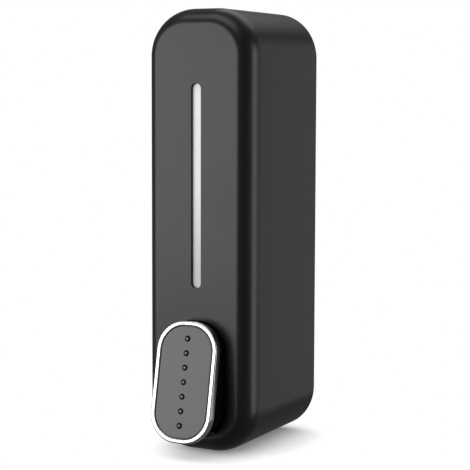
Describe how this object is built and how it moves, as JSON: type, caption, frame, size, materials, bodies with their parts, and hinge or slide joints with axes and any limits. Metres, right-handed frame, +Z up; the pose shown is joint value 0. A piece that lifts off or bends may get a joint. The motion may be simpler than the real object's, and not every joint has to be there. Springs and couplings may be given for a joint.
{
  "type": "wall mounted soap dispenser",
  "caption": "Wall mounted liquid soap dispenser: a tall round-cornered cover with sight slot and push button over a refillable reservoir and pump.",
  "frame": {"origin": "on the wall face, at the centre of the four wall screw holes", "axes": "+X to the right seen from the front, +Y into the wall, +Z up; the front faces -Y"},
  "size_m": [0.057, 0.0892, 0.21],
  "materials": {
    "plate_black": "moulded ABS, fine texture",
    "cover_black": "satin moulded ABS with a very fine texture",
    "hood_black": "smooth black ABS",
    "insert_grey": "satin grey moulded plastic",
    "stud_black": "glossy black",
    "chrome": "bright chromed plastic",
    "window_frost": "frosted translucent strip",
    "tank_clear": "translucent moulded polypropylene",
    "pump_white": "moulded polypropylene",
    "cap_grey": "moulded polypropylene",
    "spout_black": "smooth black plastic",
    "silicone": "soft silicone",
    "seal_rubber": "nitrile rubber",
    "steel": "zinc plated steel",
    "spring_steel": "drawn spring wire",
    "lock_metal": "plated lock barrel"
  },
  "bodies": {
    "wall_unit": {"back_plate": "plate_black", "hinge_pin": "steel", "reservoir": "tank_clear", "tank_screws": "steel", "pump_body": "pump_white", "pump_screws": "steel", "tank_gasket": "seal_rubber", "union_nut": "pump_white", "inlet_valve": "silicone", "gland_nut": "pump_white", "outlet_valve": "silicone", "spout": "spout_black", "return_spring": "spring_steel"},
    "plunger": {"plunger_rod": "pump_white", "piston_seal": "seal_rubber", "push_head": "pump_white"},
    "cap_seal": {"cap_seal": "seal_rubber"},
    "fill_cap": {"fill_cap": "cap_grey"},
    "cover": {"front_cover": "cover_black", "sight_window": "window_frost", "button_pin": "steel"},
    "lock": {"lock_barrel": "lock_metal", "lock_cam": "steel", "cam_screw": "steel"},
    "button": {"button_hood": "hood_black", "chrome_ring": "chrome", "button_insert": "insert_grey", "grip_studs": "stud_black"}
  },
  "joints": [
    {"name": "cover_hinge", "type": "hinge", "parent": "wall_unit", "child": "cover", "pos_m": [0, -0.008, -0.099], "axis": [1, 0, 0], "range_deg": [0, 80]},
    {"name": "lock_turn", "type": "hinge", "parent": "cover", "child": "lock", "pos_m": [0, -0.017, 0.105], "axis": [0, 0, 1], "range_deg": [0, 90]},
    {"name": "button_pivot", "type": "hinge", "parent": "cover", "child": "button", "pos_m": [0, -0.0665, -0.047], "axis": [1, 0, 0], "range_deg": [0, 8], "stiffness_Nm_per_rad": 1.2, "springref_deg": -5.73},
    {"name": "plunger_slide", "type": "slide", "parent": "wall_unit", "child": "plunger", "axis": [0, 1, 0], "range_m": [0, 0.0043], "deforming": ["return_spring"]},
    {"name": "cap_lift", "type": "slide", "parent": "wall_unit", "child": "cap_seal", "axis": [0, 0, 1], "range_m": [0, 0.0041]},
    {"name": "cap_turn", "type": "hinge", "parent": "cap_seal", "child": "fill_cap", "pos_m": [0, -0.0472, 0.08], "axis": [0, 0, 1], "range_deg": [0, 360]}
  ],
  "couplings": [
    {"joint": "plunger_slide", "follows": "button_pivot", "m_per_rad": 0.029004},
    {"joint": "cap_lift", "follows": "cap_turn", "m_per_rad": 0.00063662}
  ]
}
